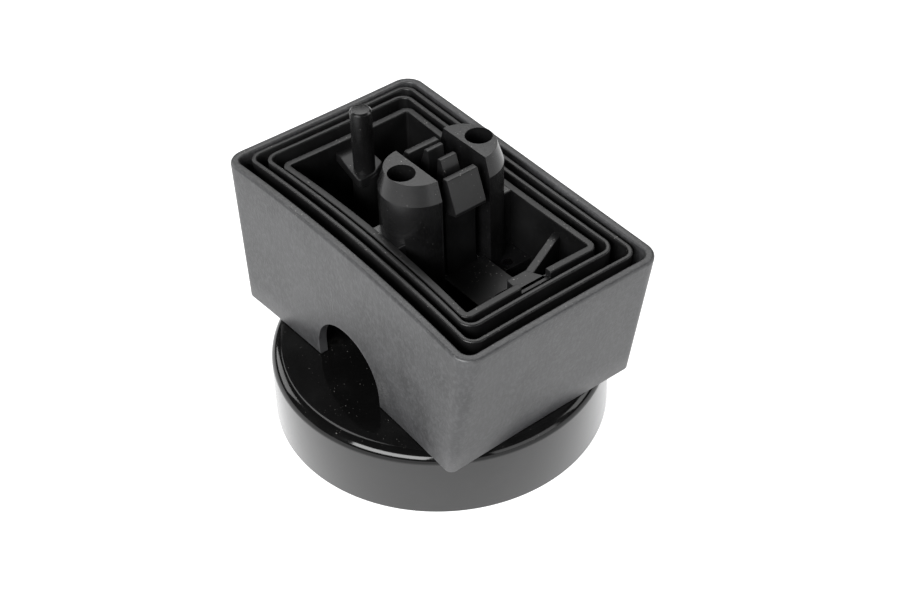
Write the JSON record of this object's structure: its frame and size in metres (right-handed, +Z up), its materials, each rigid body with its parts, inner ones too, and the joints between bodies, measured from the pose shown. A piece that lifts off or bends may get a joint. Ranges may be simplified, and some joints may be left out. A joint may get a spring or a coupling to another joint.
{
  "type": "swivel mounting block",
  "caption": "Black plastic mounting block: a tapered open housing with nested lift-up skirts, two screw towers and snap latches, turning on a round weighted base.",
  "frame": {"origin": "centre of the round base's underside, on the floor", "axes": "+X along the block's long side towards its lower end, +Y towards its rear long side, +Z up"},
  "size_m": [0.0951, 0.0866, 0.0788],
  "materials": {
    "housing_plastic": "satin",
    "base_gloss": "gloss",
    "skirt_plastic": "satin",
    "carrier_plastic": "satin",
    "tower_plastic": "satin",
    "latch_plastic": "satin",
    "foot_rubber": "matte",
    "zinc_steel": "satin",
    "ballast_iron": "matte",
    "bearing_plastic": "satin"
  },
  "bodies": {
    "base": {"base_cover": "base_gloss", "base_plate": "carrier_plastic", "base_screws": "zinc_steel", "foot_ring": "foot_rubber", "ballast_ring": "ballast_iron", "pivot_bush": "bearing_plastic", "thrust_washer": "bearing_plastic"},
    "block": {"housing": "housing_plastic", "carrier": "carrier_plastic", "carrier_screws": "zinc_steel", "guide_pin": "tower_plastic", "front_tower": "tower_plastic", "rear_tower": "tower_plastic", "front_tower_nut": "zinc_steel", "rear_tower_nut": "zinc_steel", "latch_block": "carrier_plastic", "front_tab": "latch_plastic", "rear_tab": "latch_plastic", "pivot_bolt": "zinc_steel", "head_washer": "zinc_steel", "cup_spring": "zinc_steel", "low_washer": "zinc_steel", "lock_nut": "zinc_steel"},
    "outer_skirt": {"outer_skirt": "skirt_plastic"},
    "inner_skirt": {"inner_skirt": "skirt_plastic"},
    "front_latch": {"front_latch": "latch_plastic"},
    "rear_latch": {"rear_latch": "latch_plastic"}
  },
  "joints": [
    {"name": "base_swivel", "type": "hinge", "parent": "base", "child": "block", "pos_m": [0, 0, 0.02], "axis": [0, 0, 1], "continuous": true},
    {"name": "outer_skirt_lift", "type": "slide", "parent": "block", "child": "outer_skirt", "axis": [0, 0, 1], "range_m": [0, 0.008]},
    {"name": "inner_skirt_lift", "type": "slide", "parent": "outer_skirt", "child": "inner_skirt", "axis": [0, 0, 1], "range_m": [0, 0.008]},
    {"name": "front_latch_flex", "type": "hinge", "parent": "block", "child": "front_latch", "pos_m": [0.009, 0, 0.045], "axis": [0, -1, 0], "range_deg": [0, 2.2], "stiffness_Nm_per_rad": 6},
    {"name": "rear_latch_flex", "type": "hinge", "parent": "block", "child": "rear_latch", "pos_m": [-0.003, 0, 0.045], "axis": [0, 1, 0], "range_deg": [0, 2.2], "stiffness_Nm_per_rad": 6}
  ]
}
